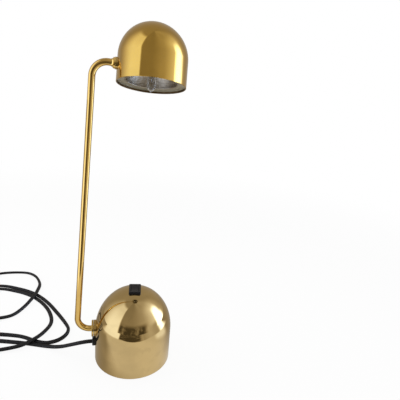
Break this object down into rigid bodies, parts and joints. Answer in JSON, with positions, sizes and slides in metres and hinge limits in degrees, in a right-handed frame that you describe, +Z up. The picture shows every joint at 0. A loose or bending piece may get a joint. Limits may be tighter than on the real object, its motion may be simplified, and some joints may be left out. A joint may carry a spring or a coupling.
{
  "type": "desk lamp",
  "caption": "Desk lamp with a domed brass base, a bent tube arm on two friction pivots, a small domed shade with a hammered reflector and capsule bulb, and a coiled black cord.",
  "frame": {"origin": "on the table, below the centre of the round base", "axes": "+Z up; the arm's lower pivot is on the base's side that faces -X and turns about X; -Y is the front, the side the near end of the rocker switch faces"},
  "size_m": [0.3831, 0.306, 0.4398],
  "materials": {
    "base_brass": "mirror polished, lacquered",
    "plate_steel": "zinc plated",
    "felt": "felt",
    "hidden_brass": "unpolished",
    "steel": "zinc plated",
    "pivot_brass": "polished",
    "gland_black": "moulded",
    "lamination": "varnished steel sheets",
    "bobbin_white": "moulded",
    "copper": "enamelled copper wire",
    "ceramic": "ceramic",
    "cord_black": "soft plastic sheath",
    "lead_blue": "insulated wire",
    "lead_white": "insulated wire",
    "switch_black": "moulded",
    "contact_metal": "tinned brass",
    "rocker_black": "moulded",
    "arm_brass": "polished",
    "hub_brass": "polished",
    "steel_dark": "phosphated",
    "ferrule_brass": "polished",
    "shade_brass": "polished, satin inside",
    "collar_brass": "polished",
    "reflector_aluminium": "hammered bowl, satin flange",
    "bulb_glass": "clear quartz",
    "tungsten": "drawn wire",
    "plug_black": "moulded",
    "pin_nickel": "nickel plated"
  },
  "bodies": {
    "base": {"base_shell": "base_brass", "base_plate": "plate_steel", "foot_pad": "felt", "shell_brackets": "hidden_brass", "plate_screws": "steel", "base_bush": "pivot_brass", "base_bush_washer": "steel", "base_bush_nut": "hidden_brass", "cord_gland": "gland_black", "transformer_core": "lamination", "transformer_bobbin": "bobbin_white", "primary_winding": "copper", "secondary_winding": "copper", "transformer_clamp": "plate_steel", "clamp_screws": "steel", "clamp_nuts": "steel", "terminal_block": "bobbin_white", "terminal_screws": "hidden_brass", "thermal_fuse": "ceramic", "inner_cord": "cord_black", "mains_leads": "lead_blue", "secondary_cable": "lead_white", "switch_housing": "switch_black", "switch_terminals": "contact_metal", "power_cord": "cord_black", "plug_body": "plug_black", "plug_pins": "pin_nickel"},
    "rocker": {"switch_rocker": "rocker_black", "switch_plunger": "bobbin_white", "plunger_spring": "steel"},
    "blade": {"contact_blade": "contact_metal"},
    "arm": {"arm_tube": "arm_brass", "arm_hub": "hub_brass", "hub_spring_washer": "steel", "hub_retaining_ring": "steel_dark", "arm_ferrule": "ferrule_brass", "collar_spring_washer": "steel", "collar_retaining_ring": "steel_dark", "arm_cable": "lead_white"},
    "shade": {"shade_shell": "shade_brass", "shade_bush": "collar_brass", "shade_bush_nut": "hidden_brass", "lampholder_bracket": "plate_steel", "lampholder": "ceramic", "lampholder_screws": "steel", "lampholder_contacts": "contact_metal", "lamp_leads": "lead_white", "reflector": "reflector_aluminium", "reflector_clips": "hidden_brass", "bulb_glass": "bulb_glass", "bulb_pins": "contact_metal", "bulb_filament": "tungsten"}
  },
  "joints": [
    {"name": "arm_swing", "type": "hinge", "parent": "base", "child": "arm", "pos_m": [-0.0483, 0, 0.047], "axis": [1, 0, 0], "range_deg": [-40, 40]},
    {"name": "shade_tilt", "type": "hinge", "parent": "arm", "child": "shade", "pos_m": [0.00977, 0, 0.38977], "axis": [0.9984, 0, -0.0558], "range_deg": [-76, 104]},
    {"name": "rocker_tip", "type": "hinge", "parent": "base", "child": "rocker", "pos_m": [0, 0, 0.1025], "axis": [0.9945, -0.1045, 0], "range_deg": [-20, 0]},
    {"name": "blade_tip", "type": "hinge", "parent": "base", "child": "blade", "pos_m": [0, 0, 0.0937], "axis": [0.9945, -0.1045, 0], "range_deg": [0, 12]}
  ],
  "couplings": [
    {"joint": "blade_tip", "follows": "rocker_tip", "ratio": -0.6}
  ]
}
